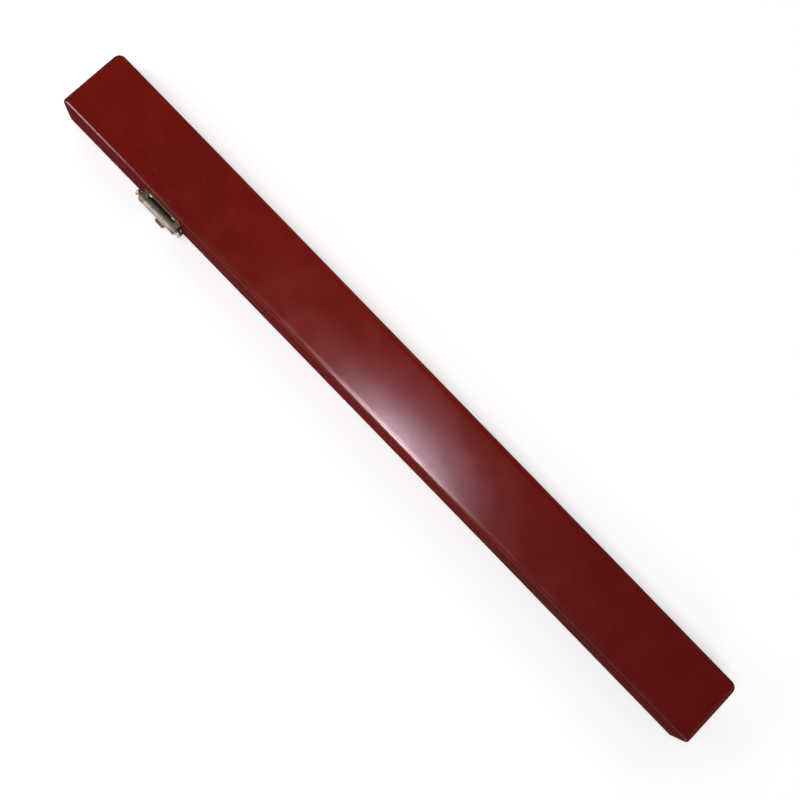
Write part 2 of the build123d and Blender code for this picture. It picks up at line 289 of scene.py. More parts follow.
def add_lathed(
    name: str,
    profile: Iterable[tuple[float, float]],
    axis: Vector,
    origin: Point,
    steps: int = 40,
) -> bpy.types.Object:
    """A turned piece: a point drawn out along its profile and spun round its axis.

    Args:
        name: The new object's name.
        profile: Distances along the axis and radii, from one end to the other.
        axis: Direction of the axis.
        origin: Where the axis starts.
        steps: Faces round the axis.

    Returns:
        The new object.
    """
    across = axis.orthogonal().normalized()
    points = [Vector(origin) + axis * along + across * radius for along, radius in profile]
    bpy.ops.mesh.primitive_plane_add(size=1e-3, location=points[0])
    piece = bpy.context.object
    piece.name = name
    bpy.ops.object.transform_apply(location=True, rotation=False, scale=False)
    with EditMode(piece) as edit:
        bpy.ops.mesh.merge(type="CENTER")
        for last, point in zip(points, points[1:]):
            step = {"value": point - last}
            bpy.ops.mesh.extrude_vertices_move(TRANSFORM_OT_translate=step)
        edit.pick_all(Parts.VERTICES)
        bpy.ops.mesh.spin(steps=steps, angle=math.tau, center=origin, axis=axis)
    outward(piece)
    return piece


def copy_of_node(name: str, node: bpy.types.Object, bevel: float) -> bpy.types.Object:
    """A copy of a CAD node's mesh, merged, cleaned and with its sharp edges eased.

    Args:
        name: The new object's name.
        node: The CAD node, which stays as it is.
        bevel: Width of the eased edges in metres, or 0 for none.

    Returns:
        The new object.
    """
    piece = bpy.data.objects.new(name, node.data.copy())
    bpy.context.scene.collection.objects.link(piece)
    piece.data.materials.clear()
    with EditMode(piece):
        bpy.ops.mesh.customdata_custom_splitnormals_clear()
        bpy.ops.mesh.remove_doubles(threshold=SAME_POINT)
        bpy.ops.mesh.dissolve_limited(angle_limit=math.radians(0.5))
        bpy.ops.mesh.quads_convert_to_tris(quad_method="BEAUTY", ngon_method="BEAUTY")
    if bevel:
        ease_edges(piece, bevel, 32.0)
    smooth(piece)
    if bevel:
        shade_by_area(piece)
    return piece


def cut_away(piece: bpy.types.Object, cutters: Iterable[bpy.types.Object]) -> None:
    """Takes each cutter's form out of a piece, and removes the cutter.

    Args:
        piece: The object that is cut.
        cutters: Closed objects.
    """
    for cutter in cutters:
        finish_with(piece, "BOOLEAN", operation="DIFFERENCE", solver="EXACT", object=cutter)
        bpy.data.objects.remove(cutter)


def slice_into_strips(edit: EditMode, axis: Vector, places: Iterable[float]) -> None:
    """Cuts all faces across at some places, so that the form can bend there.

    Args:
        edit: The piece in edit mode.
        axis: Normal of the cuts.
        places: Distances of the cuts from the origin along the axis.
    """
    for place in places:
        edit.pick_all(Parts.VERTICES)
        bpy.ops.mesh.bisect(plane_co=axis * place, plane_no=axis)


def spread(low: float, high: float, count: int) -> list[float]:
    """Evenly spaced places between two limits, without the limits themselves."""
    return [low + (high - low) * (i + 1) / (count + 1) for i in range(count)]


def ramp(value: float, low: float, high: float) -> float:
    """0 below low and 1 above high, with a smooth step between."""
    share = min(1.0, max(0.0, (value - low) / (high - low)))
    return share * share * (3 - 2 * share)


def cloud(x: float, y: float, z: float) -> float:
    """Smooth noise from 0 to 1 at a place."""
    return 0.5 + 0.5 * noise.noise(Vector((x, y, z)))


# ---------------------------------------------------------------- shader graphs


class Graph:
    """A node tree that is being wired."""

    def __init__(self, tree: bpy.types.NodeTree) -> None:
        """Starts with an empty tree."""
        self.tree = tree
        tree.nodes.clear()

    def add(
        self, kind: str, inputs: dict[str | int, object] | None = None, **settings: object
    ) -> bpy.types.Node:
        """Adds a node.

        Args:
            kind: The node's type, without its leading ShaderNode.
            inputs: Values or sockets for its inputs, by name or number.
            **settings: The node's own values.

        Returns:
            The new node.
        """
        node = self.tree.nodes.new(kind if kind.startswith("Node") else "ShaderNode" + kind)
        for key, value in settings.items():
            setattr(node, key, value)
        for key, value in (inputs or {}).items():
            if isinstance(value, bpy.types.NodeSocket):
                self.tree.links.new(value, node.inputs[key])
            else:
                node.inputs[key].default_value = value
        return node

    def math(self, operation: str, *values: object) -> bpy.types.NodeSocket:
        """The result of a Math node on some values or sockets."""
        node = self.add("Math", dict(enumerate(values)), operation=operation)
        return node.outputs[0]

    def between(self, value: object, low: object, high: object) -> bpy.types.NodeSocket:
        """A value as 0 below low and 1 above high, smooth between."""
        limits = {"Value": value, "From Min": low, "From Max": high}
        return self.add("MapRange", limits, interpolation_type="SMOOTHSTEP").outputs[0]

    def scaled(self, value: object, low: float, high: float) -> bpy.types.NodeSocket:
        """A share from 0 to 1 as a value between two limits."""
        return self.add("MapRange", {"Value": value, "To Min": low, "To Max": high}).outputs[0]

    def mixed(self, share: object, first: object, second: object) -> bpy.types.NodeSocket:
        """A colour between two colours."""
        values = {0: share, 6: first, 7: second}
        return self.add("Mix", values, data_type="RGBA").outputs[2]

    def place(self, stretch: Point = (1.0, 1.0, 1.0)) -> bpy.types.NodeSocket:
        """The object's own coordinates, stretched."""
        source = self.add("TexCoord").outputs["Object"]
        return self.add("Mapping", {"Vector": source, "Scale": stretch}).outputs[0]

    def noise(
        self, vector: object, scale: object, detail: float = 3.0, roughness: float = 0.55
    ) -> bpy.types.NodeSocket:
        """The value of a Noise Texture."""
        values = {"Vector": vector, "Scale": scale, "Detail": detail, "Roughness": roughness}
        return self.add("TexNoise", values).outputs[0]

    def bump(
        self, height: object, distance: float, normal: object = None
    ) -> bpy.types.NodeSocket:
        """A normal bent by a height.

        Args:
            height: The height, from about 0 to 1.
            distance: What a height of 1 stands for, in metres.
            normal: The normal to bend, or None for the surface's own.

        Returns:
            The bent normal.
        """
        values: dict[str | int, object] = {"Height": height, "Distance": distance}
        if normal is not None:
            values["Normal"] = normal
        return self.add("Bump", values).outputs[0]

    def group(self, tree: bpy.types.NodeTree, **values: object) -> bpy.types.Node:
        """Places a shared effect, with its own values."""
        named = {key.replace("_", " ").title(): value for key, value in values.items()}
        return self.add("Group", named, node_tree=tree)


class EffectGraph(Graph):
    """The graph of a shared effect: a node group with float sockets."""

    def __init__(self, name: str, inputs: Iterable[str], outputs: Iterable[str]) -> None:
        """Starts the group with its sockets and its two end nodes.

        Args:
            name: The group's name.
            inputs: Names of its inputs.
            outputs: Names of its outputs.
        """
        super().__init__(bpy.data.node_groups.new(name, "ShaderNodeTree"))
        for names, way in ((inputs, "INPUT"), (outputs, "OUTPUT")):
            for socket in names:
                self.tree.interface.new_socket(
                    name=socket, in_out=way, socket_type="NodeSocketFloat"
                )
        self.source = self.add("NodeGroupInput")
        self.sink = self.add("NodeGroupOutput")

    def given(self, name: str) -> bpy.types.NodeSocket:
        """One of the effect's inputs."""
        return self.source.outputs[name]

    def put_out(self, **results: bpy.types.NodeSocket) -> bpy.types.NodeTree:
        """Wires the results to the outputs of their names, and gives the finished group."""
        for name, value in results.items():
            self.tree.links.new(value, self.sink.inputs[name.title()])
        return self.tree


class Effects:
    """The effects that several materials share, each built once."""

    def __init__(self) -> None:
        """Builds every effect."""
        self.patches = self._patches()
        self.grain = self._grain()
        self.recess_shade = self._recess_shade()
        self.wear = self._wear()
        self.weave = self._weave()
        self.hairlines = self._hairlines()
        self.dust = self._dust()

    @staticmethod
    def _patches() -> bpy.types.NodeTree:
        """Soft cloudy patches of a given size."""
        g = EffectGraph("cloudy_patches", ("Scale", "Low", "High"), ("Mask",))
        place = g.place()
        cloud = g.noise(place, g.given("Scale"), 2.0, 0.5)
        return g.put_out(mask=g.between(cloud, g.given("Low"), g.given("High")))

    @staticmethod
    def _grain() -> bpy.types.NodeTree:
        """Pebbled leather grain: rounded cells with creases between, and fine pores."""
        g = EffectGraph("leather_grain", ("Scale",), ("Height", "Crease"))
        place = g.place()
        bend = g.add("TexNoise", {"Vector": place, "Scale": g.given("Scale")})
        centred = {0: bend.outputs[1], 1: (0.5, 0.5, 0.5)}
        shift = g.add("VectorMath", centred, operation="SUBTRACT")
        shift = g.add("VectorMath", {0: shift.outputs[0], "Scale": 0.0006}, operation="SCALE")
        bent = g.add("VectorMath", {0: place, 1: shift.outputs[0]}).outputs[0]
        cells = g.add(
            "TexVoronoi",
            {"Vector": bent, "Scale": g.given("Scale")},
            feature="DISTANCE_TO_EDGE",
        ).outputs[0]
        rounded = g.between(cells, 0.0, 0.28)
        pores = g.noise(place, g.math("MULTIPLY", g.given("Scale"), 3.0), 2.0)
        height = g.math("ADD", rounded, g.math("MULTIPLY", pores, 0.35))
        return g.put_out(height=height, crease=g.math("SUBTRACT", 1.0, rounded))

    @staticmethod
    def _wear() -> bpy.types.NodeTree:
        """Wear along outer edges, broken up by patches."""
        g = EffectGraph("edge_wear", ("Scale", "Low", "High"), ("Mask",))
        point = g.add("NewGeometry").outputs["Pointiness"]
        limits = {"Value": point, "From Min": g.given("Low"), "From Max": g.given("High")}
        edge = g.add("MapRange", limits).outputs[0]
        broken = g.between(g.noise(g.place(), g.given("Scale"), 5.0, 0.65), 0.42, 0.62)
        return g.put_out(mask=g.math("MULTIPLY", edge, broken))

    @staticmethod
    def _recess_shade() -> bpy.types.NodeTree:
        """Painted shade: a mask for narrow places, found by ambient occlusion, where shade
        falls.
        """
        g = EffectGraph("painted_recess_shade", ("Reach",), ("Mask",))
        open_share = g.add("AmbientOcclusion", {"Distance": g.given("Reach")})
        hidden = g.math("SUBTRACT", 1.0, open_share.outputs["AO"])
        return g.put_out(mask=g.between(hidden, 0.15, 0.7))

    @staticmethod
    def _weave() -> bpy.types.NodeTree:
        """Crossing threads of a given pitch, with long floats along the case."""
        g = EffectGraph("fine_weave", ("Pitch",), ("Height", "Shade"))
        parts = g.add("SeparateXYZ", {0: g.place()})
        turn = g.math("DIVIDE", math.tau, g.given("Pitch"))
        along = g.math("SINE", g.math("MULTIPLY", parts.outputs[1], turn))
        drift = g.math("ADD", parts.outputs[0], g.math("MULTIPLY", parts.outputs[1], 3.0))
        across = g.math("SINE", g.math("MULTIPLY", drift, g.math("DIVIDE", turn, 4.0)))
        height = g.math("ADD", along, g.math("MULTIPLY", across, 0.5))
        uneven = g.noise(g.place((60.0, 900.0, 900.0)), 1.0, 2.0)
        return g.put_out(height=g.math("MULTIPLY", height, uneven), shade=uneven)

    @staticmethod
    def _hairlines() -> bpy.types.NodeTree:
        """Fine scratches along the case."""
        g = EffectGraph("hairlines", ("Scale",), ("Mask",))
        place = g.place((0.06, 1.0, 1.0))
        fine = g.noise(place, g.given("Scale"), 6.0, 0.7)
        return g.put_out(mask=g.between(fine, 0.35, 0.7))

    @staticmethod
    def _dust() -> bpy.types.NodeTree:
        """Dust on faces that look up."""
        g = EffectGraph("settled_dust", ("Scale", "Amount"), ("Mask",))
        up = g.add("SeparateXYZ", {0: g.add("NewGeometry").outputs["Normal"]}).outputs[2]
        specks = g.between(g.noise(g.place(), g.given("Scale"), 6.0, 0.75), 0.56, 0.74)
        lying = g.math("MULTIPLY", g.between(up, 0.4, 1.0), specks)
        return g.put_out(mask=g.math("MULTIPLY", lying, g.given("Amount")))


@dataclass(frozen=True)
class Finish:
    """What every finish has: a name and a way to make its material."""

    name: str

    def start(self) -> tuple[bpy.types.Material, Graph]:
        """A new material and its empty graph."""
        material = bpy.data.materials.new(self.name)
        material.use_nodes = True
        return material, Graph(material.node_tree)

    @staticmethod
    def close(g: Graph, inputs: dict[str | int, object]) -> None:
        """Adds the surface's shader with its inputs, and the output."""
        shader = g.add("BsdfPrincipled", inputs)
        g.add("OutputMaterial", {"Surface": shader.outputs[0]})


@dataclass(frozen=True)
class Leather(Finish):
    """Smooth leather with a satin polish, with painted light round the middle of the case and
    painted shade towards its right end.
    """

    deep: Colour = (0.125, 0.0046, 0.0028, 1.0)
    warm: Colour = (0.200, 0.0098, 0.0055, 1.0)
    # Colour of the painted shade towards the right end of the case.
    darker_tone: Colour = (0.090, 0.0050, 0.0030, 1.0)
    worn: Colour = (0.15, 0.040, 0.024, 1.0)
    dust: Colour = (0.45, 0.38, 0.33, 1.0)
    grain_scale: float = 1500.0
    grain_depth: float = 0.000006
    waves_depth: float = 0.00004
    # Middle and reach of the painted light along the case, in metres.
    painted_light_middle: float = -0.03
    painted_light_reach: tuple[float, float] = (0.03, 0.13)
    # Reach of the painted shade towards the right end, in metres.
    painted_shade_reach: tuple[float, float] = (0.02, 0.16)
    polish: tuple[float, float] = (0.135, 0.18)
    gloss_fades: tuple[float, float] = (0.12, 0.5)
    gloss: float = 0.5

    def material(self, effects: Effects) -> bpy.types.Material:
        """Wires the finish as a material.

        Args:
            effects: The shared effects.

        Returns:
            The new material.
        """
        material, g = self.start()
        broad = g.group(effects.patches, scale=10.0, low=0.25, high=0.75).outputs[0]
        fine = g.group(effects.patches, scale=70.0, low=0.25, high=0.75).outputs[0]
        grain = g.group(effects.grain, scale=self.grain_scale)
        wear = g.group(effects.wear, scale=90.0, low=0.55, high=0.66).outputs[0]
        dust = g.group(effects.dust, scale=420.0, amount=0.05).outputs[0]
        share = g.math("ADD", g.math("MULTIPLY", broad, 0.55), g.math("MULTIPLY", fine, 0.35))
        along = g.add("SeparateXYZ", {0: g.place()}).outputs[0]
        from_middle = g.math("ABSOLUTE", g.math("SUBTRACT", along, self.painted_light_middle))
        # Painted light: the colour is lifted towards warm round the middle of the case, where
        # the light falls brightest.
        painted_light = g.math("SUBTRACT", 1.0, g.between(from_middle, *self.painted_light_reach))
        share = g.math("ADD", share, g.math("MULTIPLY", painted_light, 0.45))
        colour = g.mixed(share, self.deep, self.warm)
        # Painted shade: the colour darkens towards the right end of the case, where less light
        # falls.
        darker_tone = g.math("MULTIPLY", g.between(along, *self.painted_shade_reach), 0.75)
        colour = g.mixed(darker_tone, colour, self.darker_tone)
        colour = g.mixed(g.math("MULTIPLY", grain.outputs["Crease"], 0.4), colour, self.deep)
        colour = g.mixed(g.math("MULTIPLY", wear, 0.6), colour, self.worn)
        colour = g.mixed(dust, colour, self.dust)
        rough = g.math("ADD", g.scaled(fine, *self.polish), g.math("MULTIPLY", wear, 0.12))
        normal = g.bump(grain.outputs["Height"], self.grain_depth)
        normal = g.bump(g.noise(g.place(), 110.0, 2.0), self.waves_depth, normal)
        facing = g.add("LayerWeight").outputs["Facing"]
        gloss = g.scaled(g.between(facing, *self.gloss_fades), self.gloss, 0.0)
        self.close(
            g,
            {
                "Base Color": colour,
                "Roughness": rough,
                "Specular IOR Level": gloss,
                "Sheen Weight": 0.04,
                "Sheen Roughness": 0.35,
                "Sheen Tint": (1.0, 0.72, 0.82, 1.0),
                "Normal": normal,
            },
        )
        return material


@dataclass(frozen=True)
class Wood(Finish):
    """Planed bare wood with its grain along the case."""

    early: Colour = (0.50, 0.335, 0.175, 1.0)
    late: Colour = (0.32, 0.185, 0.085, 1.0)
    grain_depth: float = 0.00006

    def material(self, effects: Effects) -> bpy.types.Material:
        """Wires the finish as a material.

        Args:
            effects: The shared effects.

        Returns:
            The new material.
        """
        material, g = self.start()
        place = g.place((2.5, 60.0, 60.0))
        rings = g.add(
            "TexWave",
            {
                "Vector": place,
                "Scale": 1.7,
                "Distortion": 6.0,
                "Detail": 3.0,
                "Detail Scale": 1.4,
            },
            bands_direction="DIAGONAL",
        ).outputs[1]
        pores = g.noise(g.place((30.0, 1500.0, 1500.0)), 1.0, 3.0)
        streaks = g.group(effects.hairlines, scale=900.0).outputs[0]
        colour = g.mixed(g.between(rings, 0.1, 0.9), self.early, self.late)
        colour = g.mixed(g.math("MULTIPLY", streaks, 0.3), colour, self.late)
        height = g.math("ADD", pores, g.math("MULTIPLY", rings, 0.4))
        self.close(
            g,
            {
                "Base Color": colour,
                "Roughness": g.scaled(pores, 0.5, 0.72),
                "Specular IOR Level": 0.3,
                "Normal": g.bump(height, self.grain_depth),
            },
        )
        return material


@dataclass(frozen=True)
class Velvet(Finish):
    """Short-pile velvet, brushed lighter and darker in patches."""

    shade: Colour = (0.085, 0.0075, 0.0125, 1.0)
    nap: Colour = (0.20, 0.022, 0.034, 1.0)
    pile_scale: float = 4200.0
    pile_depth: float = 0.00014

    def material(self, effects: Effects) -> bpy.types.Material:
        """Wires the finish as a material.

        Args:
            effects: The shared effects.

        Returns:
            The new material.
        """
        material, g = self.start()
        brushed = g.group(effects.patches, scale=55.0, low=0.4, high=0.62).outputs[0]
        pile = g.noise(g.place(), self.pile_scale, 2.0, 0.7)
        share = g.math("ADD", g.math("MULTIPLY", brushed, 0.7), g.math("MULTIPLY", pile, 0.3))
        self.close(
            g,
            {
                "Base Color": g.mixed(share, self.shade, self.nap),
                "Roughness": 0.92,
                "Specular IOR Level": 0.15,
                "Sheen Weight": 0.55,
                "Sheen Roughness": 0.35,
                "Sheen Tint": (0.75, 0.30, 0.34, 1.0),
                "Normal": g.bump(pile, self.pile_depth),
            },
        )
        return material


@dataclass(frozen=True)
class Satin(Finish):
    """Old champagne satin with fine threads."""

    light: Colour = (0.72, 0.57, 0.36, 1.0)
    dark: Colour = (0.52, 0.375, 0.21, 1.0)
    thread_pitch: float = 0.00035
    thread_depth: float = 0.00003

    def material(self, effects: Effects) -> bpy.types.Material:
        """Wires the finish as a material.

        Args:
            effects: The shared effects.

        Returns:
            The new material.
        """
        material, g = self.start()
        weave = g.group(effects.weave, pitch=self.thread_pitch)
        darker_tone = g.group(effects.patches, scale=38.0, low=0.45, high=0.72).outputs[0]
        shade = g.math("MULTIPLY", weave.outputs["Shade"], 0.5)
        share = g.math("ADD", shade, g.math("MULTIPLY", darker_tone, 0.5))
        self.close(
            g,
            {
                "Base Color": g.mixed(share, self.light, self.dark),
                "Roughness": g.scaled(weave.outputs["Shade"], 0.28, 0.44),
                "Specular IOR Level": 0.5,
                "Sheen Weight": 0.3,
                "Sheen Roughness": 0.3,
                "Normal": g.bump(weave.outputs["Height"], self.thread_depth),
            },
        )
        return material


@dataclass(frozen=True)
class Metal(Finish):
    """Plated or drawn metal with hairlines, tarnish in patches, bright edges and painted shade
    in narrow places.
    """

    bright: Colour = (0.38, 0.362, 0.31, 1.0)
    tarnish: Colour = (0.15, 0.115, 0.07, 1.0)
    # Colour of the painted shade in narrow places, a dark grime-brown.
    shade_tone: Colour = (0.045, 0.032, 0.020, 1.0)
    tarnish_low: float = 0.3
    tarnish_high: float = 0.78
    smooth_rough: float = 0.24
    dull_rough: float = 0.5
    edge_shine: float = 0.8
    # How far the ambient occlusion for the painted shade looks, in metres.
    shade_reach: float = 0.004
    scratch_depth: float = 0.000004

    def material(self, effects: Effects) -> bpy.types.Material:
        """Wires the finish as a material.

        Args:
            effects: The shared effects.

        Returns:
            The new material.
        """
        material, g = self.start()
        patch = g.group(
            effects.patches, scale=330.0, low=self.tarnish_low, high=self.tarnish_high
        ).outputs[0]
        lines = g.group(effects.hairlines, scale=4200.0).outputs[0]
        wear = g.group(effects.wear, scale=700.0, low=0.52, high=0.6).outputs[0]
        colour = g.mixed(patch, self.bright, self.tarnish)
        colour = g.mixed(g.math("MULTIPLY", wear, self.edge_shine), colour, self.bright)
        # Painted shade: narrow places found by ambient occlusion are darkened towards a
        # grime-brown and made less metallic.
        recess_shade = g.group(effects.recess_shade, reach=self.shade_reach).outputs[0]
        colour = g.mixed(g.math("MULTIPLY", recess_shade, 0.85), colour, self.shade_tone)
        share = g.math("ADD", g.math("MULTIPLY", patch, 0.65), g.math("MULTIPLY", lines, 0.35))
        height = g.math("ADD", lines, g.noise(g.place(), 900.0, 3.0))
        self.close(
            g,
            {
                "Base Color": colour,
                "Metallic": g.scaled(recess_shade, 1.0, 0.6),
                "Roughness": g.scaled(share, self.smooth_rough, self.dull_rough),
                "Normal": g.bump(height, self.scratch_depth),
            },
        )
        return material


class Wardrobe:
    """The case's materials: one for each of the record's slots, and a darker copy of the nickel
    that paints shade on the latch plates.
    """

    def __init__(self) -> None:
        """Builds the shared effects and every material."""
        effects = Effects()
        finishes = {
            "leather": Leather("oxblood_leather"),
            "carcass_wood": Wood("pale_wood"),
            "velvet": Velvet("wine_velvet"),
            "satin": Satin("champagne_satin"),
            "brass": Metal(
                "drawn_brass",
                bright=(0.74, 0.52, 0.235, 1.0),
                tarnish=(0.30, 0.17, 0.06, 1.0),
            ),
            "nickel": Metal("aged_nickel"),
            # A darker copy of the nickel: painted shade for the latch plates, which lie against
            # the walls.
            "shaded_nickel": Metal(
                "shaded_nickel",
                bright=(0.30, 0.25, 0.19, 1.0),
                tarnish=(0.085, 0.055, 0.032, 1.0),
                dull_rough=0.6,
                edge_shine=0.2,
            ),
        }
        self.materials = {slot: f.material(effects) for slot, f in finishes.items()}

    def dress(self, piece: bpy.types.Object, finish: str) -> None:
        """Gives a piece a material.

        Args:
            piece: The object to dress.
            finish: Name of the material.
        """
        piece.data.materials.clear()
        piece.data.materials.append(self.materials[finish])


@dataclass
class Workshop:
    """What each sub-assembly needs to add its pieces to the case."""

    nodes: dict[str, bpy.types.Object]
    wardrobe: Wardrobe

    def deliver(self, piece: bpy.types.Object, finish: str, body: str, node: str) -> None:
        """Dresses a finished piece, puts it on its body and hides what it stands for.

        Args:
            piece: The finished object.
            finish: Name of its material.
            body: The CAD body that it moves with.
            node: The CAD node that it stands for, alone or with others.
        """
        self.wardrobe.dress(piece, finish)
        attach(piece, body)
        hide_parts(node)
        LOG.info("%s on %s: %d faces", piece.name, body, len(piece.data.polygons))

    def deliver_copy(self, name: str, node: str, finish: str, body: str, bevel: float) -> None:
        """Delivers a merged copy of a CAD node with eased edges in its place."""
        self.deliver(copy_of_node(name, self.nodes[node], bevel), finish, body, node)

    def deliver_row(
        self,
        first: bpy.types.Object,
        shifts: Iterable[Point],
        finish: str,
        body: str,
        node: str,
    ) -> None:
        """Delivers numbered copies of a small piece, each at its own place.

        Args:
            first: The piece to copy, named as the copies are.
            shifts: How far each copy lies from it.
            finish: Name of their material.
            body: The CAD body that they move with.
            node: The CAD node that they stand for together.
        """
        for number, shift in enumerate(shifts, 1):
            name = f"{first.name}_{body}_{number}"
            piece = bpy.data.objects.new(name, first.data.copy())
            bpy.context.scene.collection.objects.link(piece)
            piece.data.transform(Matrix.Translation(shift))
            self.deliver(piece, finish, body, node)


# ---------------------------------------------------------------- sub-assemblies


@dataclass
class HingeRoom:
    """What the hinges and the opening bevel take from the rims."""

    mortise_length: float = 0.0242
    mortise_depth: float = 0.0008
    mortise_inner_y: float = 0.01447
    groove_radius: float = 0.0018
    bevel_degrees: float = 55.5
    run: float = 0.002

    def cutters(self, side: Side) -> list[bpy.types.Object]:
        """Closed forms to cut from one half's layers.

        Args:
            side: The half that is cut.

        Returns:
            The cutters.
        """
        return [self._bevel(side)] + [
            cutter for x in HINGE_PLACES for cutter in self._mortise(side, x)
        ]

    def _bevel(self, side: Side) -> bpy.types.Object:
        """Models the wedge along the back that lets the lid open.

        Args:
            side: The half that is cut.

        Returns:
            The wedge.
        """
        far = HINGE_Y + self.run
        rise = self.run * math.tan(math.radians(self.bevel_degrees))
        rims = sorted((side.rim, side.rim - side.sign * self.run))
        half = CASE_LENGTH / 2 + self.run
        wedge = add_block("wedge", (-half, HINGE_Y, rims[0]), (half, far, rims[1]))
        with EditMode(wedge) as edit:
            edit.pick(
                Parts.VERTICES,
                lambda v: v.co.y > far - SAME_LEVEL and abs(v.co.z - side.rim) < SAME_LEVEL,
            )
            bpy.ops.transform.translate(value=(0, 0, side.sign * rise))
        return wedge

    def _mortise(self, side: Side, x: float) -> list[bpy.types.Object]:
        """Models the seat of one hinge leaf and the groove of its barrel.

        Args:
            side: The half that is cut.
            x: The middle of the hinge.

        Returns:
            The seat and the groove.
        """
        half = self.mortise_length / 2
        z_low, z_high = sorted(
            (side.rim - side.sign * self.run, side.rim + side.sign * self.mortise_depth)
        )
        seat = add_block(
            "seat", (x - half, self.mortise_inner_y, z_low), (x + half, HINGE_Y, z_high)
        )
        bpy.ops.mesh.primitive_cylinder_add(
            vertices=48,
            radius=self.groove_radius,
            depth=self.mortise_length,
            location=(x, HINGE_Y, HINGE_Z),
            rotation=(0, math.pi / 2, 0),
        )
        return [seat, bpy.context.object]


@dataclass
class Skin:
    """A leather skin over one half of the case: glued down, crowned and a little uneven."""

    side: Side
    edge_round: float
    corner_steps: int = 8
    crease_degrees: float = 18.0
    edge_steps: int = 7
    strips: int = 74
    rows: int = 9
    crown: float = 0.00022
    ripple: float = 0.00010
    sag: float = 0.00012
    rim_bevel: float = 0.00016
    front_steps: int = 4

    @property
    def limits(self) -> tuple[float, float]:
        """Lowest and highest level of the skin."""
        return (LID_RIM, CASE_HEIGHT) if self.side is Side.LID else (0.0, TRAY_RIM)

    def build(self, room: HingeRoom) -> bpy.types.Object:
        """Models the skin.

        Args:
            room: What the hinges take from the rims.

        Returns:
            The finished object.
        """
        low, high = self.limits
        far, rim = (high, low) if self.side is Side.LID else (low, high)
        half_x, half_y = CASE_LENGTH / 2, CASE_WIDTH / 2
        name = "lid_skin" if self.side is Side.LID else "tray_skin"
        piece = add_block(name, (-half_x, -half_y, low), (half_x, half_y, high))
        with EditMode(piece) as edit:
            edit.pick(Parts.EDGES, lambda e: self._is_upright(e) and e.verts[0].co.y > 0)
            self._round(BACK_CORNER, self.corner_steps)
            edit.pick(Parts.EDGES, lambda e: self._lies_at(e, far))
            self._round(self.edge_round, self.edge_steps)
            slice_into_strips(edit, X_AXIS, spread(-half_x, half_x, self.strips))
            slice_into_strips(edit, Y_AXIS, spread(-half_y, half_y, self.rows))
            edit.pick(Parts.FACES, lambda f: self._lies_at(f, rim))
            bpy.ops.mesh.delete(type="FACE")
            edit.pick(Parts.EDGES, self._is_crease)
            self._round(FRONT_CORNER, self.front_steps)
        self._settle(piece, rim, far)
        outward(piece)
        finish_with(piece, "SOLIDIFY", thickness=LEATHER, offset=-1.0, use_even_offset=True)
        cut_away(piece, room.cutters(self.side))
        ease_edges(piece, self.rim_bevel, 50.0)
        smooth(piece, 40.0)
        shade_by_area(piece)
        return piece

    @staticmethod
    def _lies_at(item: bmesh.types.BMEdge | bmesh.types.BMFace, level: float) -> bool:
        """Whether all points of an edge or face lie at a level."""
        return all(abs(v.co.z - level) < SAME_POINT for v in item.verts)

    @staticmethod
    def _is_upright(edge: bmesh.types.BMEdge) -> bool:
        """Whether an edge of the plain block stands upright."""
        return abs(edge.verts[0].co.z - edge.verts[1].co.z) > BACK_CORNER

    def _is_crease(self, edge: bmesh.types.BMEdge) -> bool:
        """Whether an edge is part of the sharp line down a front corner."""
        if len(edge.link_faces) != 2:
            return False
        return edge.calc_face_angle(0.0) > math.radians(self.crease_degrees)

    @staticmethod
    def _round(radius: float, steps: int) -> None:
        """Rounds the selected edges.

        Args:
            radius: Radius of the rounding.
            steps: Faces across it.
        """
        bpy.ops.mesh.bevel(
            offset_type="OFFSET",
            offset=radius,
            segments=steps,
            profile=0.5,
            affect="EDGES",
            clamp_overlap=False,
        )

    def _settle(self, piece: bpy.types.Object, rim: float, far: float) -> None:
        """Draws the sheet in a little, as glued leather lies: crowned and uneven.

        Args:
            piece: The open sheet.
            rim: Level of its open side.
            far: Level of its closed side.
        """
        half_y = CASE_WIDTH / 2
        for vertex in piece.data.vertices:
            x, y, z = vertex.co
            depth = abs(z - rim) / abs(far - rim)
            lift = ramp(depth, 0.55, 1.0)
            if self.side is Side.LID:
                wave = cloud(x * 24, y * 60, 3.0)
                fine = cloud(x * 95, y * 120, 9.0)
                drop = self.crown * (abs(y) / half_y) ** 2
                drop += self.ripple * wave + self.ripple * 0.25 * fine
                vertex.co.z = z - lift * drop
            pull = self.sag * cloud(x * 18, 5.0 * y / half_y, z * 50)
            share = ramp(depth, 0.05, 0.4) * ramp(abs(y), half_y * 0.8, half_y)
            vertex.co.y = y - math.copysign(pull * share, y)


@dataclass
class Walls:
    """The wooden carcasses under the leather."""

    eased: float = 0.0002

    def build(self, shop: Workshop) -> None:
        """Adds both carcasses.

        Args:
            shop: Where the pieces are delivered.
        """
        for side in Side:
            body = side.value
            shop.deliver_copy(
                f"{body}_walls", f"{body}_carcass", "carcass_wood", body, self.eased
            )


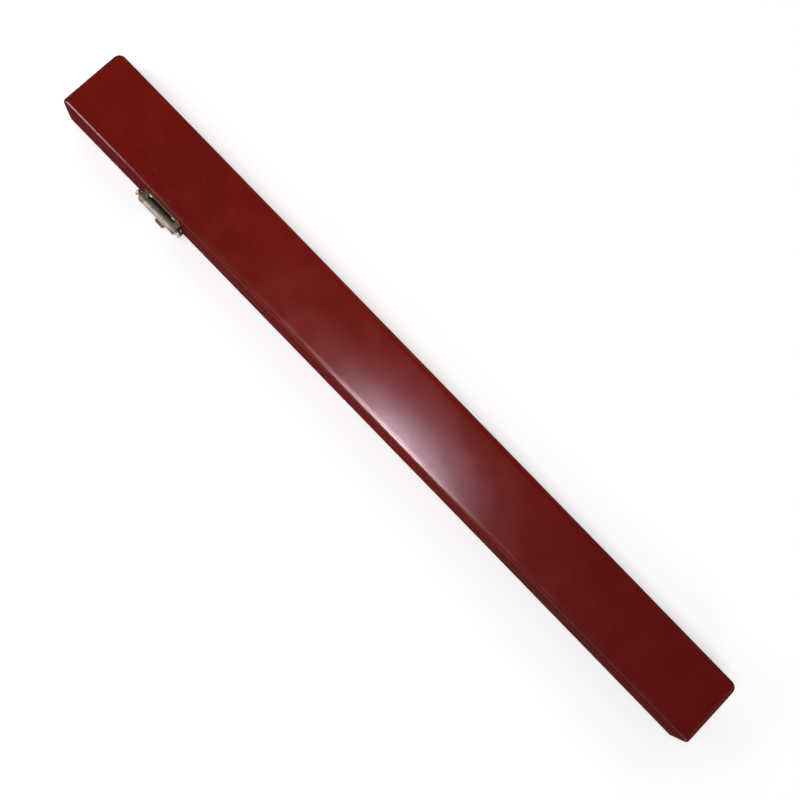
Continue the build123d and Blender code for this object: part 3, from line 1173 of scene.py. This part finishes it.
@dataclass
class FittedBed:
    """The velvet bed with its pocket, channel and scoops, and the collar round it."""

    voxel: float = 0.00072
    softening: float = 0.5
    rounds: int = 5
    collar_ease: float = 0.00022
    plush: float = 0.00006
    plush_scale: float = 140.0

    def build(self, shop: Workshop) -> None:
        """Adds the bed and the collar.

        Args:
            shop: Where the pieces are delivered.
        """
        bed = copy_of_node("velvet_bed", shop.nodes["fitted_bed"], 0.0)
        finish_with(bed, "REMESH", mode="VOXEL", voxel_size=self.voxel, adaptivity=0.0)
        finish_with(bed, "SMOOTH", factor=self.softening, iterations=self.rounds)
        low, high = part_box("fitted_bed")
        normals = [vertex.normal.copy() for vertex in bed.data.vertices]
        for vertex, normal in zip(bed.data.vertices, normals):
            uneven = noise.noise(vertex.co * self.plush_scale) * self.plush
            vertex.co += normal * (uneven - self.plush)
            vertex.co.z = min(high.z, max(low.z, vertex.co.z))
        activate(bed)
        bpy.ops.object.shade_smooth()
        shop.deliver(bed, "velvet", "base", "fitted_bed")
        shop.deliver_copy("velvet_collar", "rim_collar", "velvet", "base", self.collar_ease)


@dataclass
class LidLining:
    """The satin round the inside of the lid, and its cushion."""

    length: float = 0.4378
    width: float = 0.0268
    top: float = 0.0237
    edge: float = 0.0217
    belly: float = 0.0207
    lowest: float = 0.0202
    corner: float = 0.0016
    strips: int = 260
    rows: int = 17
    pucker: float = 0.00055
    blow_up: float = 20.0
    pressure: float = 60.0
    spare_cloth: float = 0.05
    frames: int = 20
    most_move: float = 0.0005
    drawn_in: float = 0.0003
    liner_ease: float = 0.0001

    def build(self, shop: Workshop) -> None:
        """Adds the lining and the cushion.

        Args:
            shop: Where the pieces are delivered.
        """
        shop.deliver_copy("satin_lining", "lid_lining", "satin", "lid", self.liner_ease)
        cushion = self.cushion()
        shop.deliver(cushion, "satin", "lid", "lid_pad")

    def cushion(self) -> bpy.types.Object:
        """Models the crowned cushion and lets its satin swell and gather.

        Returns:
            The finished cushion.
        """
        half_x, half_y = self.length / 2, self.width / 2
        piece = add_block(
            "satin_cushion", (-half_x, -half_y, self.edge), (half_x, half_y, self.top)
        )
        with EditMode(piece) as edit:
            edit.pick(Parts.EDGES, lambda e: abs(e.verts[0].co.z - e.verts[1].co.z) > 1e-4)
            bpy.ops.mesh.bevel(offset=self.corner, segments=4, affect="EDGES")
            slice_into_strips(edit, X_AXIS, spread(-half_x, half_x, self.strips))
            slice_into_strips(edit, Y_AXIS, spread(-half_y, half_y, self.rows))
            slice_into_strips(edit, Z_AXIS, [(self.edge + self.top) / 2])
        for vertex in piece.data.vertices:
            self._crown(vertex, half_x, half_y)
        outward(piece)
        self._swell(piece)
        finish_with(piece, "SUBSURF", levels=1, render_levels=1)
        activate(piece)
        bpy.ops.object.shade_smooth()
        return piece

    def _crown(self, vertex: bpy.types.MeshVertex, half_x: float, half_y: float) -> None:
        """Moves one point of the cushion's block to its crowned and gathered place.

        Args:
            vertex: The point.
            half_x: Half the cushion's length.
            half_y: Half its width.
        """
        x, y, z = vertex.co
        inner = max(0.0, 1 - (abs(y) / half_y) ** 2.4) * max(0.0, 1 - (abs(x) / half_x) ** 40)
        height = (self.top - z) / (self.top - self.edge)
        folds = noise.noise(Vector((x * 210, y * 25, 4.0))) * self.pucker
        near_rim = ramp(abs(y) / half_y, 0.45, 0.9)
        vertex.co.z = z - height * ((self.edge - self.belly) * inner + folds * near_rim * 0.8)
        drawn = self.drawn_in * (1 - 4 * (height - 0.5) ** 2)
        vertex.co.y = y * (1 - drawn / half_y)

    def _swell(self, piece: bpy.types.Object) -> None:
        """Blows the cushion up as cloth that is glued down by its back.

        The cloth is worked at a larger size, where the solver's steps suit it, and
        no point may leave its place by more than the cap or pass the cushion's belly.

        Args:
            piece: The crowned cushion.
        """
        start = [vertex.co.copy() for vertex in piece.data.vertices]
        piece.data.transform(Matrix.Scale(self.blow_up, 4))
        glued = piece.vertex_groups.new(name="glued")
        backs = [i for i, place in enumerate(start) if place.z > self.top - SAME_LEVEL]
        glued.add(backs, 1.0, "REPLACE")
        cloth = piece.modifiers.new("Cloth", "CLOTH")
        cloth.settings.vertex_group_mass = glued.name
        cloth.settings.quality = 6
        cloth.settings.use_pressure = True
        cloth.settings.uniform_pressure_force = self.pressure
        cloth.settings.shrink_min = -self.spare_cloth
        cloth.settings.effector_weights.gravity = 0.0
        cloth.point_cache.frame_start, cloth.point_cache.frame_end = 1, self.frames
        for frame in range(1, self.frames + 1):
            bpy.context.scene.frame_set(frame)
        activate(piece)
        bpy.ops.object.modifier_apply(modifier=cloth.name)
        bpy.context.scene.frame_set(1)
        piece.vertex_groups.clear()
        piece.data.transform(Matrix.Scale(1 / self.blow_up, 4))
        moved = []
        for vertex, place in zip(piece.data.vertices, start):
            move = vertex.co - place
            moved.append(move.length)
            kept = self.most_move * math.tanh(move.length / self.most_move)
            vertex.co = place + move * (kept / max(move.length, 1e-9))
            self._keep_in_room(vertex)
        finish_with(piece, "SMOOTH", factor=0.5, iterations=2)
        LOG.info("%s swells by %.2f mm at most", piece.name, 1000 * max(moved))

    def _keep_in_room(self, vertex: bpy.types.MeshVertex) -> None:
        """Holds one point inside the room that the lid leaves for the cushion.

        Args:
            vertex: The point.
        """
        half_x, half_y = self.length / 2, self.width / 2
        low = Vector((-half_x, -half_y, self.lowest))
        high = Vector((half_x, half_y, self.top))
        for axis in range(3):
            vertex.co[axis] = max(low[axis], min(high[axis], vertex.co[axis]))


@dataclass
class Hinges:
    """Three brass butt hinges along the back, with their screws."""

    ease: float = 0.00012
    screw_radius: float = 0.00084
    screw_offset: float = 0.0072
    slot_width: float = 0.00026
    slot_depth: float = 0.00022
    sunk: float = 0.00005

    def build(self, shop: Workshop) -> None:
        """Adds the leaves, pins and screws.

        Args:
            shop: Where the pieces are delivered.
        """
        for place in ("left", "middle", "right"):
            for part, body in (("base_leaf", "base"), ("lid_leaf", "lid"), ("pin", "base")):
                node = f"hinge_{place}_{part}"
                shop.deliver_copy(f"brass_{node}", node, "brass", body, self.ease)
        low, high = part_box("hinge_screws_base")
        for side in Side:
            self._screws(shop, side, (low.y + high.y) / 2)

    def _screws(self, shop: Workshop, side: Side, y: float) -> None:
        """Turns one screw, slots it, and copies it to its places in one half.

        Args:
            shop: Where the screws are delivered.
            side: The half that they hold.
            y: Where their row lies.
        """
        face = side.rim - side.sign * self.sunk
        down = Z_AXIS * side.sign
        profile = [
            (0.0, 0.0),
            (0.0, self.screw_radius * 0.86),
            (0.00006, self.screw_radius),
            (0.0005, self.screw_radius * 0.6),
            (0.0030, self.screw_radius * 0.5),
            (0.0034, 0.0),
        ]
        first = add_lathed("brass_screw", profile, down, (0.0, y, face), TURNED_STEPS)
        reach = self.screw_radius * 1.2
        slot = add_block(
            "slot",
            (-reach, y - self.slot_width / 2, face - self.slot_depth),
            (reach, y + self.slot_width / 2, face + self.slot_depth),
        )
        cut_away(first, [slot])
        smooth(first)
        shifts = [
            (x + way * self.screw_offset, 0.0, 0.0) for x in HINGE_PLACES for way in (-1, 1)
        ]
        shop.deliver_row(first, shifts, "brass", side.value, f"hinge_screws_{side.value}")
        bpy.data.objects.remove(first)


@dataclass
class HaspLatch:
    """The nickel latch on the front: plates, swinging hasp, pin, stud and rivets."""

    ease: float = 0.00016
    pin_radius: float = 0.00105
    barrel_half: float = 0.0126
    rivet_radius: float = 0.0013
    rivet_rise: float = 0.0006
    stud_z: float = 0.008

    def build(self, shop: Workshop) -> None:
        """Adds every piece of the latch.

        Args:
            shop: Where the pieces are delivered.
        """
        # The plates take the darker copy of the nickel, which paints shade on them.
        for node, body, slot in (
            ("latch_lid_plate", "lid", "shaded_nickel"),
            ("latch_hasp", "hasp", "nickel"),
            ("latch_base_plate", "base", "shaded_nickel"),
        ):
            shop.deliver_copy(f"nickel_{node}", node, slot, body, self.ease)
        shop.deliver(self._pin(), "nickel", "lid", "latch_pin")
        shop.deliver(self._stud(), "nickel", "base", "latch_stud")
        self._rivets(shop)

    def _pin(self) -> bpy.types.Object:
        """Turns the hinge pin with a finial at each end.

        Returns:
            The pin.
        """
        finial = (
            (0.0, self.pin_radius),
            (0.0, 0.0020),
            (0.0001, 0.0022),
            (0.0003, 0.0023),
            (0.0005, 0.0022),
            (0.0007, 0.0018),
            (0.0012, 0.0013),
            (0.0018, 0.0011),
            (0.0020, 0.0012),
            (0.0022, 0.0015),
            (0.0026, 0.0017),
            (0.0030, 0.00168),
            (0.0033, 0.0014),
            (0.00345, 0.0009),
            (0.0035, 0.0),
        )
        half = [(self.barrel_half + along, radius) for along, radius in finial]
        profile = [(-x, r) for x, r in reversed(half)] + half
        pin = add_lathed("nickel_pin", profile, X_AXIS, (LATCH_X, LATCH_AXIS_Y, LATCH_AXIS_Z))
        smooth(pin, TURNED_SHARP)
        return pin

    def _stud(self) -> bpy.types.Object:
        """Turns the waisted stud that the hasp's eye lies over.

        Returns:
            The stud.
        """
        profile = [
            (-0.003, 0.0),
            (-0.003, 0.001),
            (0.0, 0.001),
            (0.0, 0.0016),
            (0.0012, 0.00152),
            (0.0015, 0.0018),
            (0.0017, 0.002),
            (0.0023, 0.002),
            (0.0028, 0.00175),
            (0.0031, 0.0014),
            (0.0033, 0.0008),
            (0.0034, 0.0),
        ]
        origin = (LATCH_X, PLATE_FACE_Y, self.stud_z)
        stud = add_lathed("nickel_stud", profile, OUT_OF_FRONT, origin)
        smooth(stud, TURNED_SHARP)
        return stud

    def _rivets(self, shop: Workshop) -> None:
        """Turns one domed rivet and copies it to its places.

        Args:
            shop: Where the pieces are delivered.
        """
        rise, radius = self.rivet_rise, self.rivet_radius
        dome = [(-0.0008, 0.0), (-0.0008, 0.0008), (0.0, 0.0008), (0.0, radius)]
        dome += [
            (rise * math.sin(math.radians(a)), radius * math.cos(math.radians(a)))
            for a in (15, 30, 45, 60, 75)
        ]
        dome.append((rise, 0.0))
        origin = (0.0, PLATE_FACE_Y, 0.0)
        first = add_lathed("nickel_rivet", dome, OUT_OF_FRONT, origin, TURNED_STEPS)
        smooth(first, TURNED_SHARP)
        places = {
            "lid": [(way * 0.008, 0.0214) for way in (-1, 1)],
            "base": [(way * 0.0109, z) for way in (-1, 1) for z in (0.0052, 0.0100)],
        }
        for body, spots in places.items():
            shifts = [(LATCH_X + x, 0.0, z) for x, z in spots]
            shop.deliver_row(first, shifts, "nickel", body, f"latch_rivets_{body}")
        bpy.data.objects.remove(first)


# ---------------------------------------------------------------- studio


class Duty(Enum):
    """What a lamp is there for."""

    BOTH = "lights the case and shows in its polish"
    LIGHT = "lights the case only"
    GLARE = "shows in the polish only"


@dataclass(frozen=True)
class SoftBox:
    """An area lamp that looks at a point."""

    name: str
    place: Point
    aim: Point
    size: tuple[float, float]
    radiance: float
    colour: tuple[float, float, float] = (1.0, 1.0, 1.0)
    shape: str = "RECTANGLE"
    duty: Duty = Duty.BOTH

    def hang(self) -> None:
        """Adds the lamp."""
        bpy.ops.object.light_add(type="AREA", location=self.place)
        lamp = bpy.context.object
        lamp.name = self.name
        lamp.data.shape = self.shape
        lamp.data.size, lamp.data.size_y = self.size
        lamp.data.energy = self.radiance * math.pi * self.size[0] * self.size[1]
        lamp.data.color = self.colour
        direction = Vector(self.aim) - Vector(self.place)
        lamp.rotation_euler = direction.to_track_quat("-Z", "Y").to_euler()
        lamp.visible_camera = False
        lamp.visible_diffuse = self.duty is not Duty.GLARE
        lamp.visible_glossy = self.duty is not Duty.LIGHT


@dataclass(frozen=True)
class Camera:
    """The camera at the photograph's angle."""

    target: Point = (0.0, 0.0, 0.0135)
    elevation: float = 80.11
    azimuth: float = 3.79
    roll: float = 42.07
    distance: float = 0.600
    lens: float = 52.5
    sensor: float = 36.0
    shift: tuple[float, float] = (0.0024, -0.0035)

    def stand(self) -> None:
        """Adds the camera and makes it the scene's own."""
        elevation, azimuth, roll = (
            math.radians(a) for a in (self.elevation, self.azimuth, self.roll)
        )
        back = Vector(
            (
                math.sin(azimuth) * math.cos(elevation),
                -math.cos(azimuth) * math.cos(elevation),
                math.sin(elevation),
            )
        )
        level = Vector((math.cos(azimuth), math.sin(azimuth), 0.0))
        upright = back.cross(level)
        right = math.cos(roll) * level + math.sin(roll) * upright
        up = -math.sin(roll) * level + math.cos(roll) * upright
        bpy.ops.object.camera_add()
        camera = bpy.context.object
        turn = Matrix((right, up, back)).transposed()
        camera.rotation_euler = turn.to_euler()
        camera.location = Vector(self.target) + back * self.distance
        camera.data.sensor_width = self.sensor
        camera.data.lens = self.lens
        camera.data.shift_x, camera.data.shift_y = self.shift
        camera.data.clip_start, camera.data.clip_end = 0.01, 60.0
        bpy.context.scene.camera = camera


@dataclass(frozen=True)
class Studio:
    """A plain pale floor and soft light."""

    floor_size: float = 60.0
    floor_albedo: float = 0.80
    glow_near: float = 0.37
    glow_far: float = 0.98
    zenith: float = 0.04
    horizon: float = 0.4

    def build(self) -> None:
        """Adds the floor, the surroundings and the lamps."""
        self._floor()
        self._surroundings()
        for lamp in self._lamps():
            lamp.hang()

    def _lamps(self) -> list[SoftBox]:
        """The lamps: a window overhead, a strip in front, and fills on all four sides."""
        middle = (0.0, 0.0, 0.02)
        lilac = (0.88, 0.82, 1.0)
        rose = (1.0, 0.86, 0.90)
        return [
            SoftBox("window", (0.035, 0.055, 1.03), (0.035, 0.055, 0.0), (0.13, 0.13), 20.0,
                    lilac, "ELLIPSE", Duty.GLARE),
            SoftBox("strip_high", (0.022, -0.27, 1.03), (0.022, -0.27, 0.0), (0.12, 0.46), 31.0,
                    rose, duty=Duty.GLARE),
            SoftBox("strip_low", (0.022, -0.82, 0.72), middle, (0.12, 0.70), 31.0,
                    rose, duty=Duty.GLARE),
            SoftBox("left_glint", (-0.72, -0.92, 0.34), middle, (0.4, 0.5), 11.0,
                    rose, duty=Duty.GLARE),
            SoftBox("right_glint", (0.80, -0.92, 0.30), middle, (0.25, 0.4), 7.0,
                    rose, duty=Duty.GLARE),
            SoftBox("key", (0.0, -0.35, 1.4), middle, (0.8, 0.6), 7.6, duty=Duty.LIGHT),
            SoftBox("left_front", (-0.60, -0.50, 0.50), middle, (0.3, 0.3), 5.0,
                    duty=Duty.LIGHT),
            SoftBox("right_front", (0.75, -0.70, 0.50), middle, (0.3, 0.3), 3.0,
                    duty=Duty.LIGHT),
            SoftBox("left_fill", (-1.4, 0.5, 1.0), middle, (1.0, 1.0), 2.0,
                    (1.0, 0.95, 0.9), duty=Duty.LIGHT),
            SoftBox("right_fill", (1.5, 0.5, 1.0), middle, (1.0, 1.0), 0.5),
            SoftBox("back_fill", (-0.2, 1.5, 1.0), middle, (1.4, 0.8), 2.0, duty=Duty.LIGHT),
        ]

    def _floor(self) -> None:
        """The floor, pale for every ray and darker only where the case shades it."""
        bpy.ops.mesh.primitive_plane_add(size=self.floor_size)
        floor = bpy.context.object
        floor.name = "studio_floor"
        material = bpy.data.materials.new("pale_floor")
        material.use_nodes = True
        g = Graph(material.node_tree)
        path = g.add("LightPath").outputs
        seen = g.math("MAXIMUM", path["Is Camera Ray"], path["Is Glossy Ray"])
        seen = g.math("MAXIMUM", seen, path["Is Transmission Ray"])
        matt = g.add("BsdfDiffuse", {"Color": (*[self.floor_albedo] * 3, 1.0)})
        away = g.add("VectorMath", {0: g.place()}, operation="LENGTH").outputs["Value"]
        level = g.scaled(g.between(away, 0.4, 2.2), self.glow_near, self.glow_far)
        glow = g.add("Emission", {"Strength": g.math("MULTIPLY", seen, level)})
        both = g.add("AddShader", {0: matt.outputs[0], 1: glow.outputs[0]})
        g.add("OutputMaterial", {"Surface": both.outputs[0]})
        floor.data.materials.append(material)
        floor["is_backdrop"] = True

    def _surroundings(self) -> None:
        """Surroundings that are pale at the horizon and darker overhead."""
        world = bpy.data.worlds.new("studio_surroundings")
        world.use_nodes = True
        bpy.context.scene.world = world
        g = Graph(world.node_tree)
        up = g.add("SeparateXYZ", {0: g.add("TexCoord").outputs["Generated"]}).outputs[2]
        share = g.between(up, 0.02, 0.34)
        strength = g.scaled(share, self.horizon, self.zenith)
        seen = g.add("LightPath").outputs["Is Camera Ray"]
        strength = g.math("MAXIMUM", strength, seen)
        glow = g.add("Background", {"Strength": strength})
        g.add("OutputWorld", {"Surface": glow.outputs[0]})


def main() -> None:
    """Builds the case's dressed pieces and the studio round them."""
    logging.basicConfig(level=logging.INFO, format="%(name)s: %(message)s")
    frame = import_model()
    cad_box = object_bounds()
    shop = Workshop(frame["nodes"], Wardrobe())
    room = HingeRoom()
    for side, edge_round in ((Side.TRAY, 0.002), (Side.LID, 0.003)):
        skin = Skin(side, edge_round).build(room)
        shop.deliver(skin, "leather", side.value, f"{side.value}_leather")
    for assembly in (Walls(), FittedBed(), LidLining(), Hinges(), HaspLatch()):
        assembly.build(shop)
    Studio().build()
    Camera().stand()
    bpy.context.scene.view_settings.view_transform = "Standard"
    sizes = {"cad": cad_box, "visual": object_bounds()}
    for name, box in sizes.items():
        LOG.info("%s box in mm: %s", name, [[round(c * 1000, 2) for c in p] for p in box])


if __name__ == "__main__":
    main()
